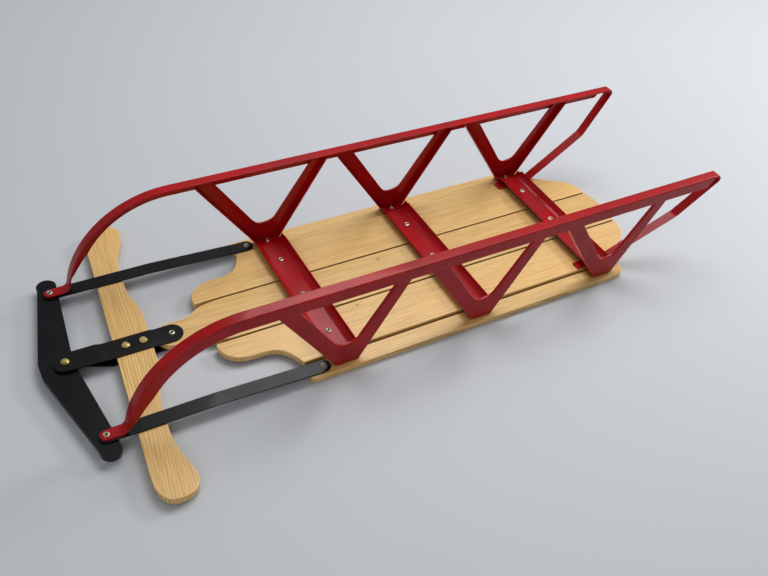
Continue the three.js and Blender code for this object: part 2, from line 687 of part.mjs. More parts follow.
const lowRivetHead = 1.1;
for (const name of Object.keys(BENCH_Y)) {
  const y = BENCH_Y[name];
  const seat = benchBase(name) + BENCH_SHEET + GAP;
  const foot = slatBase - GAP - lowRivetHead;
  addPiece("rivet_" + name + "_centre", rivet(0, y, seat, foot, lowRivetHead), "zinc");
  for (const [label, side] of Object.entries(SIDES)) {
    const slatRivet = rivet(side * slatRivetX, y, seat, foot, lowRivetHead);
    const railSeat = benchEndBase + BENCH_SHEET + GAP;
    const railRivet = rivet(side * railRivetX, y, railSeat, 1, 0);
    addPiece("rivet_" + name + "_slat_" + label, slatRivet, "zinc");
    addPiece("rivet_" + name + "_rail_" + label, railRivet, "zinc");
  }
}

for (const [label, side] of Object.entries(SIDES)) {
  const x = side * strutX;
  const strutSeat = strutLow + STRUT_STEEL + GAP;
  const cornerSeat = tabBase + RUNNER_STEEL + GAP;
  const cornerFoot = bumperFace - BUMPER_STEEL - GAP - lowRivetHead;
  addPiece("strut_rivet_" + label, rivet(x, strutRear, strutSeat, 1, 0), "zinc");
  addPiece("corner_rivet_" + label, rivet(x, cornerY, cornerSeat, cornerFoot, lowRivetHead), "zinc");
}

const strapHead = lowerStrapLow - GAP;
const strapSeat = upperStrapMid + STRAP_STEEL + GAP;
const bumperSeat = upperStrapHigh + STRAP_STEEL + GAP;
const noseSeat = upperStrapLow + STRAP_STEEL + GAP;
addPiece("nose_pivot_rivet", rivet(0, 0, noseSeat, strapHead - lowRivetHead, lowRivetHead), "zinc");
addPiece("bar_bolt_rear", bolt(barBolts[0], strapHead, strapSeat), "yellow");
addPiece("bar_bolt_front", bolt(barBolts[1], strapHead, strapSeat), "yellow");
const bumperHead = bumperFace - BUMPER_STEEL - GAP;
addPiece("bumper_pivot_bolt", bolt(-leverLength, bumperHead, bumperSeat), "yellow");

// ---- stand the sled on the middle of its footprint -------------------------------------------
sled.updateMatrixWorld(true);
const bounds = new THREE.Box3().setFromObject(sled);
const middle = bounds.getCenter(new THREE.Vector3());
sled.position.set(-middle.x, -middle.y, -bounds.min.z);

export default sled;
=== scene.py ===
"""A steerable sled with a slatted wooden deck and springy steel runners, lying upside down.

Laid out as an add-on: settings, one operator for each group of pieces, a sidebar panel.
Metres, +Z up, nose towards -Y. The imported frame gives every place.
"""
import json
import math
from itertools import pairwise

import bmesh
import bpy
from bpy.props import FloatProperty, FloatVectorProperty, PointerProperty
from mathutils import Matrix, Vector

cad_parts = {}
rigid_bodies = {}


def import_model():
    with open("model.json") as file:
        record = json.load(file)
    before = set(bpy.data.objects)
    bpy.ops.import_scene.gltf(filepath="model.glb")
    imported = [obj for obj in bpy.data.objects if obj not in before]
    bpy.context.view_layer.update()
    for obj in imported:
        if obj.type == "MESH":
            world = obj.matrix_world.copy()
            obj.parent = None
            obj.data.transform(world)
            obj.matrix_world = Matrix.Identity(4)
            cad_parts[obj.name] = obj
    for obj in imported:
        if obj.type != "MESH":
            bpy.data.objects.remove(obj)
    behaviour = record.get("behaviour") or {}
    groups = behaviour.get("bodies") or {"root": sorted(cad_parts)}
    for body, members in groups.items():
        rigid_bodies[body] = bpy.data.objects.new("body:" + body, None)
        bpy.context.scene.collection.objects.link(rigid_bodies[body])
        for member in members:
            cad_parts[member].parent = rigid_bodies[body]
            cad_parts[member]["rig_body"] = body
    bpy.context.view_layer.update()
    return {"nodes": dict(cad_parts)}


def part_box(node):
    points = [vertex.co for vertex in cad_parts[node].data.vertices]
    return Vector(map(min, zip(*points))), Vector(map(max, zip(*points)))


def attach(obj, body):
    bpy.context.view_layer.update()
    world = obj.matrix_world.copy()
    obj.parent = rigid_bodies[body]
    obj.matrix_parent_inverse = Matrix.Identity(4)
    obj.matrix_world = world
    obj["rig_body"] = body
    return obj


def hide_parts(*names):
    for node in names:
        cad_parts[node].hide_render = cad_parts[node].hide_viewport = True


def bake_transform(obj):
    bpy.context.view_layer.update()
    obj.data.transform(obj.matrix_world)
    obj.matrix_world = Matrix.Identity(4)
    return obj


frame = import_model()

bl_info = {
    "name": "Steerable Wooden Sled",
    "version": (1, 0, 0),
    "blender": (4, 5, 0),
    "location": "View3D > Sidebar > Sled",
    "description": "Builds the wood, the painted steel and the fasteners of a steerable sled",
    "category": "Object",
}

MM = 0.001
SIDES = {"left": -1, "right": 1}
BENCHES = ("front", "middle", "rear")
SLATS = ("slat_centre", "slat_left", "slat_right")
RAILS = ("rail_left", "rail_right")
WEB_FADE = 14 * MM  # over which a runner's web runs out at the tail
NO_WEB = 0.01  # share of the web's depth that is kept where there is none
CURVE_STEPS = 44  # stations round a runner's front curve
TAB_HOLE = 4.2 * MM  # radius of the rivet hole in a runner's tab


# ---- settings ------------------------------------------------------------------------------
def length(name, description, default):
    """A setting that is a length."""
    return FloatProperty(
        name=name, description=description, default=default, min=0, unit="LENGTH"
    )


def shade(name, description, default):
    """A setting that is a colour."""
    return FloatVectorProperty(
        name=name, description=description, default=default, size=3, min=0, max=1, subtype="COLOR"
    )


class SledWoodSettings(bpy.types.PropertyGroup):
    """Sizes and colours of the wooden pieces."""

    slat_round: length("Slat rounding", "Radius along the edges of the slats", 1.6 * MM)
    bar_round: length("Bar rounding", "Radius along the edges of the steering bar", 3.2 * MM)
    early: shade("Early wood", "Pale wood between the grain lines", (0.88, 0.60, 0.225))
    late: shade("Late wood", "Darker wood of the grain lines", (0.55, 0.29, 0.075))
    knot: shade("Knots", "Colour of the small knots", (0.10, 0.045, 0.015))
    ring_space: length("Ring spacing", "Distance between two growth rings", 4.2 * MM)


class SledSteelSettings(bpy.types.PropertyGroup):
    """Sizes and colours of the painted steel."""

    steel: length("Runner steel", "Thickness of the runners", 3.0 * MM)
    flange: length("Running flange", "Width of each runner's flat flange", 19.0 * MM)
    web: length("Web depth", "Depth of each runner's outer web", 23.0 * MM)
    corner: length("Corner radius", "Radius along a runner's outer corner", 2.6 * MM)
    curve: length("Front curve", "Outer radius of the curve at the front of a runner", 190 * MM)
    tab_reach: length("Tab reach", "From the corner rivet to the front of the curve", 28 * MM)
    foot_bend: length("Foot bend", "Radius of the bend into the tab", 12 * MM)
    hairpin: length("Hairpin", "Outer radius of the hairpin at the tail", 10 * MM)
    kink_before: length("Kink, ahead", "From the hairpin forward to the strap's kink", 55 * MM)
    kink_below: length("Kink, below", "From a runner's top down to the kink", 94 * MM)
    foot_behind: length("Foot, behind", "From the rear bench back to a strap's foot", 34.5 * MM)
    sheet: length("Knee sheet", "Thickness of the pressed knees", 2.4 * MM)
    lip: length("Knee lip", "Depth of the lips along a knee's outer edges", 12 * MM)
    notch_lip: length("Notch lip", "Depth of the rolled lip round a knee's notch", 5 * MM)
    sole: length("Knee sole", "Depth of the foot under a bench's end", 21 * MM)
    press_radius: length("Press radius", "Radius of the bends in the pressed knees", 2.4 * MM)
    plate_round: length("Strap rounding", "Radius along the edges of straps and plates", 0.6 * MM)
    red: shade("Red enamel", "Colour of benches, knees and runners", (0.42, 0.003, 0.006))
    black: shade("Black enamel", "Colour of the steering linkage", (0.002, 0.002, 0.0025))
    # the colour of paint rubbed thin, which the edges also take as a painted highlight
    primer_and_edge_highlight: shade("Worn edge", "What shows where the paint is rubbed thin", (0.60, 0.10, 0.07))


class SledFastenerSettings(bpy.types.PropertyGroup):
    """Colours of rivets and bolts."""

    plated: shade("Rivets", "Colour of the plated rivets", (0.50, 0.45, 0.36))
    yellow: shade("Bolts", "Colour of the yellow-plated bolts", (0.66, 0.50, 0.20))


class SledStageSettings(bpy.types.PropertyGroup):
    """Floor, lamps and camera."""

    floor: shade("Floor", "Colour of the floor", (0.52, 0.54, 0.56))
    camera_place: FloatVectorProperty(
        name="Camera",
        description="Place of the camera",
        default=(0.9905, -0.6980, 1.1091),
        unit="LENGTH",
    )
    camera_aim: FloatVectorProperty(
        name="Aim",
        description="Point the camera looks at",
        default=(0.0706, -0.0490, 0.05),
        unit="LENGTH",
    )
    camera_roll: FloatProperty(
        name="Roll", description="Turn about the view", default=0.15, subtype="ANGLE"
    )
    lens: FloatProperty(
        name="Lens", description="Focal length in millimetres", default=40.77, min=10
    )


# ---- mesh helpers --------------------------------------------------------------------------
def centre_of(node):
    """The middle of a CAD node's box."""
    low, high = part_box(node)
    return (low + high) / 2


def away_from(holes, distance=7 * MM):
    """A test for edges on a board's outline, and not round one of its holes."""

    def test(edge):
        middle = (edge.verts[0].co + edge.verts[1].co) / 2
        return min((middle.xy - hole.xy).length for hole in holes) > distance

    return test


def merged_copy(node, flat=math.radians(1.0)):
    """A bmesh of a CAD node with its doubles merged and its flat faces joined."""
    bm = bmesh.new()
    bm.from_mesh(frame["nodes"][node].data)
    bmesh.ops.remove_doubles(bm, verts=bm.verts, dist=0.01 * MM)
    bmesh.ops.dissolve_limit(bm, angle_limit=flat, verts=bm.verts, edges=bm.edges)
    return bm


def round_edges(bm, radius, segments, sharper=math.radians(35), choose=None):
    """Rounds the edges that are sharper than an angle, and marks the new faces as edge faces."""
    mark = bm.loops.layers.float.get("edge") or bm.loops.layers.float.new("edge")
    edges = [edge for edge in bm.edges if edge.is_manifold and edge.calc_face_angle() > sharper]
    if choose:
        edges = [edge for edge in edges if choose(edge)]
    made = bmesh.ops.bevel(
        bm,
        geom=edges,
        offset=radius,
        offset_type="OFFSET",
        segments=segments,
        profile=0.5,
        affect="EDGES",
        clamp_overlap=True,
        material=-1,
    )
    for face in made["faces"]:
        for loop in face.loops:
            loop[mark] = 1.0


def new_piece(name, bm, material, body, replaced=(), smooth=math.radians(40)):
    """Turns a bmesh into a finished object that rides on a body."""
    mesh = bpy.data.meshes.new(name)
    bm.to_mesh(mesh)
    bm.free()
    mesh.polygons.foreach_set("use_smooth", [True] * len(mesh.polygons))
    mesh.set_sharp_from_angle(angle=smooth)
    mesh.materials.append(material)
    piece = bpy.data.objects.new(name, mesh)
    bpy.context.scene.collection.objects.link(piece)
    normals = piece.modifiers.new("Flat faces stay flat", "WEIGHTED_NORMAL")
    normals.keep_sharp = True
    if replaced:
        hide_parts(*replaced)
    if body:
        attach(piece, body)
    return piece


def body_of(node):
    """The body that a CAD node belongs to."""
    return frame["nodes"][node]["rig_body"]


def polygon(bm, points):
    """A flat face through a few points."""
    return bm.faces.new([bm.verts.new(point) for point in points])


def drill(piece, axis, radius):
    """Cuts an upright round hole through a piece."""
    bm = bmesh.new()
    place = Matrix.Translation((axis.x, axis.y, axis.z))
    bmesh.ops.create_cone(
        bm, cap_ends=True, segments=32, radius1=radius, radius2=radius, depth=30 * MM, matrix=place
    )
    mesh = bpy.data.meshes.new("drill")
    bm.to_mesh(mesh)
    bm.free()
    tool = bpy.data.objects.new("drill", mesh)
    bpy.context.scene.collection.objects.link(tool)
    cut = piece.modifiers.new("Hole", "BOOLEAN")
    cut.object = tool
    cut.operation = "DIFFERENCE"
    cut.solver = "EXACT"
    normals = piece.modifiers[0]
    piece.modifiers.remove(normals)
    bpy.context.view_layer.update()
    seen = piece.evaluated_get(bpy.context.evaluated_depsgraph_get())
    drilled = bpy.data.meshes.new_from_object(seen)
    piece.modifiers.clear()
    piece.data = drilled
    piece.modifiers.new("Flat faces stay flat", "WEIGHTED_NORMAL").keep_sharp = True
    bpy.data.objects.remove(tool)


def foot_points(label):
    """The lowest points of a rear runner, which are those of its tail strap's foot."""
    name = "runner_" + label
    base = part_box(name)[0].z
    vertices = frame["nodes"][name].data.vertices
    return [vertex.co for vertex in vertices if vertex.co.z < base + 1 * MM]


class Path:
    """Stations along a bent bar, kept as straights and arcs in a plane of Y and Z."""

    def __init__(self, y, z, edge_x, inward):
        self.y, self.z, self.heading = y, z, 0.0
        self.edge_x, self.inward = edge_x, inward
        self.places = [(y, z, 0.0)]

    def straight(self, distance, steps=1):
        for _ in range(steps):
            self.y += distance / steps * math.cos(self.heading)
            self.z += distance / steps * math.sin(self.heading)
            self.places.append((self.y, self.z, self.heading))

    def bend(self, radius, angle, steps):
        """Turns left by a positive angle, and right by a negative one."""
        side = math.copysign(1, angle)
        centre_y = self.y - side * radius * math.sin(self.heading)
        centre_z = self.z + side * radius * math.cos(self.heading)
        for _ in range(steps):
            self.heading += angle / steps
            self.y = centre_y + side * radius * math.sin(self.heading)
            self.z = centre_z - side * radius * math.cos(self.heading)
            self.places.append((self.y, self.z, self.heading))

    def station(self, place, shift=0.0, narrow=1.0, middle=0.0):
        """Matrix at a place: X across the bar and inwards, Y along it, Z out of its face."""
        y, z, heading = place
        matrix = Matrix.Translation((self.edge_x + self.inward * shift, y, z))
        matrix @= Matrix.Rotation(heading, 4, "X") @ Matrix.Diagonal((self.inward, 1, 1, 1))
        squeeze = Matrix.Translation((middle, 0, 0)) @ Matrix.Diagonal((narrow, 1, 1, 1))
        return matrix @ squeeze @ Matrix.Translation((-middle, 0, 0))


# ---- material helpers ----------------------------------------------------------------------
class Graph:
    """A material's nodes, added one call at a time."""

    def __init__(self, name):
        self.material = bpy.data.materials.new(name)
        self.material.use_nodes = True
        self.tree = self.material.node_tree
        self.shader = self.tree.nodes["Principled BSDF"]

    def add(self, kind, inputs=None, **settings):
        node = self.tree.nodes.new(kind)
        for key, value in settings.items():
            setattr(node, key, value)
        for key, value in (inputs or {}).items():
            self.put(node.inputs[key], value)
        return node

    def put(self, socket, value):
        if isinstance(value, bpy.types.NodeSocket):
            self.tree.links.new(value, socket)
        else:
            socket.default_value = value

    def math(self, operation, a, b=0.0, clamp=False):
        node = self.add("ShaderNodeMath", {0: a, 1: b}, operation=operation, use_clamp=clamp)
        return node.outputs[0]

    def noise(self, vector, scale, detail=3.0, roughness=0.55):
        inputs = {"Vector": vector, "Scale": scale, "Detail": detail, "Roughness": roughness}
        return self.add("ShaderNodeTexNoise", inputs).outputs["Fac"]

    def spread(self, value, low, high, to_low=0.0, to_high=1.0):
        inputs = {"Value": value, "From Min": low, "From Max": high}
        inputs.update({"To Min": to_low, "To Max": to_high})
        return self.add("ShaderNodeMapRange", inputs, clamp=True).outputs["Result"]

    def mix(self, share, a, b, blend="MIX"):
        node = self.add("ShaderNodeMix", data_type="RGBA", blend_type=blend)
        self.put(node.inputs["Factor"], share)
        for socket, value in ((node.inputs[6], a), (node.inputs[7], b)):
            self.put(socket, value if isinstance(value, bpy.types.NodeSocket) else (*value, 1.0))
        return node.outputs[2]

    def place(self, scale=(1, 1, 1), turn=0.0, shift=(0, 0, 0)):
        source = self.add("ShaderNodeTexCoord").outputs["Object"]
        turned = self.add(
            "ShaderNodeMapping", {"Vector": source, "Rotation": (0, 0, turn), "Location": shift}
        )
        inputs = {"Vector": turned.outputs[0], "Scale": scale}
        return self.add("ShaderNodeMapping", inputs).outputs[0]

    def edge(self):
        return self.add("ShaderNodeAttribute", attribute_name="edge").outputs["Fac"]

    def bump(self, height, distance, strength=1.0):
        inputs = {"Height": height, "Distance": distance, "Strength": strength}
        return self.add("ShaderNodeBump", inputs).outputs["Normal"]

    def set(self, **values):
        for key, value in values.items():
            self.put(self.shader.inputs[key.replace("_", " ")], value)


def wood_material(name, turn=0.0, shift=(0, 0, 0), heart=(0.0, 0.0, -0.05), tone=1.0, knots=()):
    """Varnished pale wood. The grain runs along Y, turned by an angle; heart is the tree's
    middle beside the board, and knots are small dark spots at places on the board."""
    settings = bpy.context.scene.sled_wood
    graph = Graph(name)
    board = graph.place(turn=turn, shift=shift)
    wobble = graph.noise(graph.place((9, 1.6, 9), turn, shift), 1.0, 2.0)
    waver = graph.noise(graph.place((60, 5, 60), turn, shift), 1.0, 2.0)
    parts = graph.add("ShaderNodeSeparateXYZ", {"Vector": board})
    across = graph.math("ADD", parts.outputs["X"], graph.math("MULTIPLY", wobble, 0.055))
    across = graph.math("ADD", across, heart[0] - 0.027)
    depth = graph.math("ADD", parts.outputs["Z"], -heart[2])
    depth = graph.math("ADD", depth, graph.math("MULTIPLY", parts.outputs["Y"], 0.035))
    radius = graph.math(
        "SQRT", graph.math("ADD", graph.math("POWER", across, 2.0), graph.math("POWER", depth, 2.0))
    )
    rings = graph.math("DIVIDE", radius, settings.ring_space)
    rings = graph.math("ADD", rings, graph.math("MULTIPLY", waver, 0.7))
    phase = graph.math("FRACT", rings)
    late = graph.math("MULTIPLY", graph.spread(phase, 0.25, 0.92), graph.spread(phase, 1.0, 0.93))
    fibre = graph.noise(graph.place((650, 14, 650), turn, shift), 1.0, 3.0, 0.6)
    streak = graph.noise(graph.place((210, 9, 210), turn, shift), 1.0, 4.0, 0.65)
    pore = graph.noise(graph.place((1500, 45, 1500), turn, shift), 1.0, 1.0)
    patch = graph.noise(graph.place((14, 3, 14), turn, shift), 1.0, 3.0)
    early = [channel * tone for channel in settings.early]
    dark = [channel * tone for channel in settings.late]
    colour = graph.mix(graph.math("MULTIPLY", late, 0.80), early, dark)
    colour = graph.mix(graph.spread(fibre, 0.38, 0.68, 0.0, 0.65), colour, dark)
    colour = graph.mix(graph.spread(streak, 0.50, 0.66, 0.0, 0.60), colour, dark)
    colour = graph.mix(graph.spread(pore, 0.62, 0.80, 0.0, 0.30), colour, settings.knot)
    warm = [settings.early[0], settings.early[1] * 0.86, settings.early[2] * 0.66]
    colour = graph.mix(graph.spread(patch, 0.45, 0.75, 0.0, 0.45), colour, warm)
    # painted highlight: the rounded edge faces of each board are made paler
    pale = [min(channel * 1.10 + 0.02, 1.0) for channel in settings.early]
    colour = graph.mix(graph.math("MULTIPLY", graph.edge(), 0.55), colour, pale)
    for x, y, size in knots:
        away = graph.add(
            "ShaderNodeVectorMath",
            {0: graph.place((1, 0.42, 0), shift=(-x, -y, 0))},
            operation="LENGTH",
        )
        rough = graph.math("ADD", away.outputs["Value"], graph.math("MULTIPLY", fibre, size * 0.5))
        spot = graph.spread(rough, size * 0.55, size * 1.25, 0.85, 0.0)
        halo = graph.spread(rough, size * 0.8, size * 5.0, 0.35, 0.0)
        colour = graph.mix(halo, colour, dark)
        colour = graph.mix(spot, colour, settings.knot)
    relief = graph.math("ADD", fibre, graph.math("MULTIPLY", pore, 0.6))
    # painted shade: where ambient occlusion finds the wood sheltered, in the gaps between boards
    # and under the steel, its colour is darkened towards the knot colour
    shelter = graph.add("ShaderNodeAmbientOcclusion", {"Distance": 9 * MM}, samples=6)
    painted_crevice_shade = graph.spread(shelter.outputs["AO"], 0.15, 0.60, 0.85, 0.0)
    colour = graph.mix(painted_crevice_shade, colour, settings.knot)
    graph.set(
        Base_Color=colour,
        Roughness=graph.spread(fibre, 0.3, 0.7, 0.36, 0.50),
        Coat_Weight=0.25,
        Coat_Roughness=0.22,
        Normal=graph.bump(relief, 0.06 * MM, 0.5),
    )
    return graph.material


def enamel_material(name, colour, rubbed, roughness, wear_and_highlight, coat):
    """Sprayed enamel on steel: slight orange peel, faint dust, and paint rubbed thin on edges; the
    lighter edges are partly a painted highlight.
    """
    graph = Graph(name)
    board = graph.place()
    cloud = graph.noise(board, 18.0, 4.0)
    peel = graph.noise(board, 650.0, 2.0)
    speck = graph.noise(board, 240.0, 4.0, 0.7)
    scuff = graph.noise(graph.place((90, 900, 300), 0.6), 1.0, 3.0, 0.7)
    deep = [channel * 0.72 for channel in colour]
    tint = graph.mix(graph.spread(cloud, 0.35, 0.65), colour, deep)
    # the edges turn towards the lighter colour in patches: partly paint rubbed thin, partly a
    # painted highlight along the edges
    worn_and_highlit_edges = graph.math("MULTIPLY", graph.edge(), graph.spread(speck, 0.56, 0.66, 0.0, wear_and_highlight))
    chips = graph.spread(speck, 0.735, 0.76, 0.0, wear_and_highlight)
    tint = graph.mix(graph.math("MAXIMUM", worn_and_highlit_edges, chips, True), tint, rubbed)
    tint = graph.mix(graph.spread(scuff, 0.70, 0.82, 0.0, wear_and_highlight * 0.45), tint, rubbed)
    graph.set(
        Base_Color=tint,
        Roughness=graph.spread(cloud, 0.3, 0.7, roughness * 0.85, roughness * 1.3),
        Coat_Weight=coat,
        Coat_Roughness=0.06,
        Specular_IOR_Level=0.18,
        Normal=graph.bump(peel, 0.03 * MM, 0.35),
    )
    return graph.material


def plated_material(name, colour):
    """Dulled plating with small stains."""
    graph = Graph(name)
    board = graph.place()
    stain = graph.noise(board, 420.0, 4.0, 0.65)
    fine = graph.noise(board, 2600.0, 2.0)
    dull = [channel * 0.45 for channel in colour]
    graph.set(
        Base_Color=graph.mix(graph.spread(stain, 0.42, 0.70, 0.0, 0.75), colour, dull),
        Metallic=1.0,
        Roughness=graph.spread(stain, 0.35, 0.7, 0.24, 0.50),
        Normal=graph.bump(fine, 0.02 * MM, 0.4),
    )
    return graph.material


def material(name):
    """The sled's material of that name, made when it is first asked for."""
    found = bpy.data.materials.get(name)
    if found:
        return found
    steel = bpy.context.scene.sled_steel
    fasteners = bpy.context.scene.sled_fasteners
    if name == "red enamel":
        return enamel_material(name, steel.red, steel.primer_and_edge_highlight, 0.28, 0.45, 0.16)
    if name == "black enamel":
        # grey where the black is rubbed thin, and along the edges as a painted highlight
        grey = [0.10, 0.10, 0.105]
        return enamel_material(name, steel.black, grey, 0.30, 0.5, 0.12)
    if name == "plated rivets":
        return plated_material(name, fasteners.plated)
    return plated_material(name, fasteners.yellow)


# ---- operators -----------------------------------------------------------------------------
class SLED_OT_deck(bpy.types.Operator):
    """Slats and side rails with rounded edges and varnished grain"""

    bl_idname = "sled.deck"
    bl_label = "Deck"

    def execute(self, context):
        settings = context.scene.sled_wood
        # turn, shift and heart of each board's grain, its tone, and its knots
        centre_knot = (-0.0317, -0.0007, 2.2 * MM)
        right_knot = (0.0619, -0.0957, 1.8 * MM)
        grains = {
            "slat_centre": (0.01, (0.3, 0.2, 0), (0.01, 0, -0.035), 0.96, (centre_knot,)),
            "slat_left": (-0.008, (0.9, 0.7, 0), (0.012, 0, -0.06), 1.03),
            "slat_right": (0.012, (1.7, 1.1, 0), (-0.03, 0, -0.05), 1.02, (right_knot,)),
            "rail_left": (0.0, (2.3, 1.9, 0), (0.05, 0, -0.05), 1.0),
            "rail_right": (0.0, (2.9, 2.3, 0), (-0.06, 0, -0.05), 0.98),
        }
        rivets = [node for node in frame["nodes"] if "rivet" in node]
        holes = [centre_of(node) for node in rivets]
        for node in SLATS + RAILS:
            bm = merged_copy(node)
            round_edges(bm, settings.slat_round, 4, choose=away_from(holes))
            what, side = node.split("_")
            look = wood_material("{} {} wood".format(side, what), *grains[node])
            new_piece(node + "_wood", bm, look, body_of(node), [node])
        return {"FINISHED"}


class SLED_OT_bar(bpy.types.Operator):
    """Steering bar with well-rounded edges"""

    bl_idname = "sled.bar"
    bl_label = "Steering bar"

    def execute(self, context):
        settings = context.scene.sled_wood
        across = math.radians(90 + 5.8)
        look = wood_material("steering bar wood", across, (0.5, 0.1, 0), (0.012, 0, -0.02), 0.98)
        holes = [centre_of(node) for node in ("bar_bolt_rear", "bar_bolt_front")]
        bm = merged_copy("steering_bar")
        round_edges(bm, settings.bar_round, 5, choose=away_from(holes))
        body = body_of("steering_bar")
        new_piece("steering_bar_wood", bm, look, body, ["steering_bar"])
        return {"FINISHED"}


class SLED_OT_benches(bpy.types.Operator):
    """Pressed trough benches"""

    bl_idname = "sled.benches"
    bl_label = "Benches"

    def execute(self, context):
        for name in BENCHES:
            node = "bench_" + name
            bm = merged_copy(node)
            round_edges(bm, 0.7 * MM, 3, sharper=math.radians(12))
            look = material("red enamel")
            new_piece(node + "_steel", bm, look, body_of(node), [node])
        return {"FINISHED"}


class SLED_OT_knees(bpy.types.Operator):
    """V-shaped knees pressed from sheet, with lips along the outer edges and round the notch, and a
    foot below
    """

    bl_idname = "sled.knees"
    bl_label = "Knees"

    def execute(self, context):
        steel = context.scene.sled_steel
        for name in BENCHES:
            for label, side in SIDES.items():
                self.knee("knee_{}_{}".format(name, label), side, steel)
        return {"FINISHED"}

    def knee(self, node, side, steel):
        """Starts from the outer face of the CAD plate, and folds the lips from its outline."""
        bm = merged_copy(node)
        face = max(bm.faces, key=lambda f: f.calc_area() * max(f.normal.x * side, 0))
        bmesh.ops.delete(bm, geom=[other for other in bm.faces if other != face], context="FACES")
        face = bm.faces[:][0]
        top = max(vert.co.z for vert in bm.verts)
        foot = min(vert.co.z for vert in bm.verts)
        outer, notch = [], []
        for edge in face.edges:
            ends = [vert.co for vert in edge.verts]
            if min(end.z for end in ends) > top - 0.5 * MM:
                continue
            away = (ends[1] - ends[0]).cross(face.normal)
            outward = (ends[0] + ends[1]) / 2 - self.inside(face, edge)
            away *= math.copysign(1, away.dot(outward))
            (notch if away.z > 0 else outer).append(edge)
        self.fold(bm, outer, -side * steel.lip)
        self.fold(bm, notch, -side * steel.notch_lip)
        bent = outer + notch
        low = [
            edge
            for edge in bm.edges
            if edge.is_boundary and all(vert.co.z < foot + 1 * MM for vert in edge.verts)
        ]
        self.fold(bm, low, -side * (steel.sole - steel.lip))
        bmesh.ops.recalc_face_normals(bm, faces=bm.faces)
        big = max(bm.faces, key=lambda f: f.calc_area())
        if big.normal.x * side < 0:
            bmesh.ops.reverse_faces(bm, faces=bm.faces)
        mark = bm.loops.layers.float.new("edge")
        made = bmesh.ops.bevel(
            bm,
            geom=[edge for edge in bent if edge.is_valid],
            offset=steel.press_radius,
            offset_type="OFFSET",
            segments=4,
            profile=0.5,
            affect="EDGES",
            clamp_overlap=True,
            material=-1,
        )
        for bevel_face in made["faces"]:
            for loop in bevel_face.loops:
                loop[mark] = 1.0
        look = material("red enamel")
        piece = new_piece(node + "_steel", bm, look, body_of(node), [node])
        thick = piece.modifiers.new("Sheet", "SOLIDIFY")
        thick.thickness = steel.sheet
        thick.offset = -1
        thick.use_even_offset = True
        rim = piece.modifiers.new("Rim", "BEVEL")
        rim.width = 0.4 * MM
        rim.segments = 2
        rim.angle_limit = math.radians(50)
        piece.modifiers.move(0, 2)  # the normals are weighted last

    def inside(self, face, edge):
        """A point just inside the face beside one of its edges."""
        loop = next(loop for loop in edge.link_loops if loop.face == face)
        along = (loop.link_loop_next.vert.co - loop.vert.co).normalized()
        return (loop.vert.co + loop.link_loop_next.vert.co) / 2 + face.normal.cross(along) * MM

    def fold(self, bm, edges, distance):
        """Folds a lip inwards from some edges."""
        made = bmesh.ops.extrude_edge_only(bm, edges=edges)["geom"]
        verts = [item for item in made if isinstance(item, bmesh.types.BMVert)]
        bmesh.ops.translate(bm, verts=verts, vec=(distance, 0, 0))


